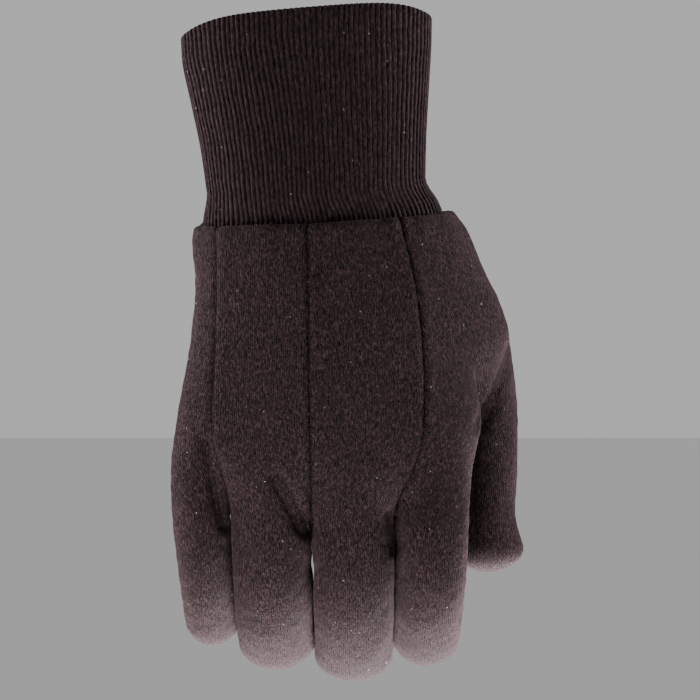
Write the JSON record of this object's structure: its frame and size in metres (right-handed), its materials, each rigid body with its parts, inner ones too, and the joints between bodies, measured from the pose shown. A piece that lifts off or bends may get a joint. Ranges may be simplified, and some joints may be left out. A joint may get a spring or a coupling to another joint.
{
  "type": "cotton work glove",
  "caption": "Brown cotton jersey work glove for the right hand in its worn shape, with a ribbed knit wrist, seams down the back and fingers curled toward the palm.",
  "frame": {"origin": "centre of the cuff's mouth, where a wrist goes in and the glove is held up", "axes": "+Z out of the cuff's mouth with the fingers pointing down, +Y out of the palm, +X toward the thumb"},
  "size_m": [0.1384, 0.0671, 0.2642],
  "materials": {
    "jersey": "matt brushed cotton jersey, dark brown",
    "rib_knit": "matt ribbed cotton knit, dark brown"
  },
  "bodies": {
    "root": {"knit_wrist": "rib_knit", "palm_panel": "jersey", "front_index": "jersey", "front_middle": "jersey", "front_ring": "jersey", "front_little": "jersey", "thumb_panel": "jersey", "back_thumb": "jersey", "back_index": "jersey", "back_middle": "jersey", "back_ring": "jersey", "back_little": "jersey"}
  },
  "joints": []
}
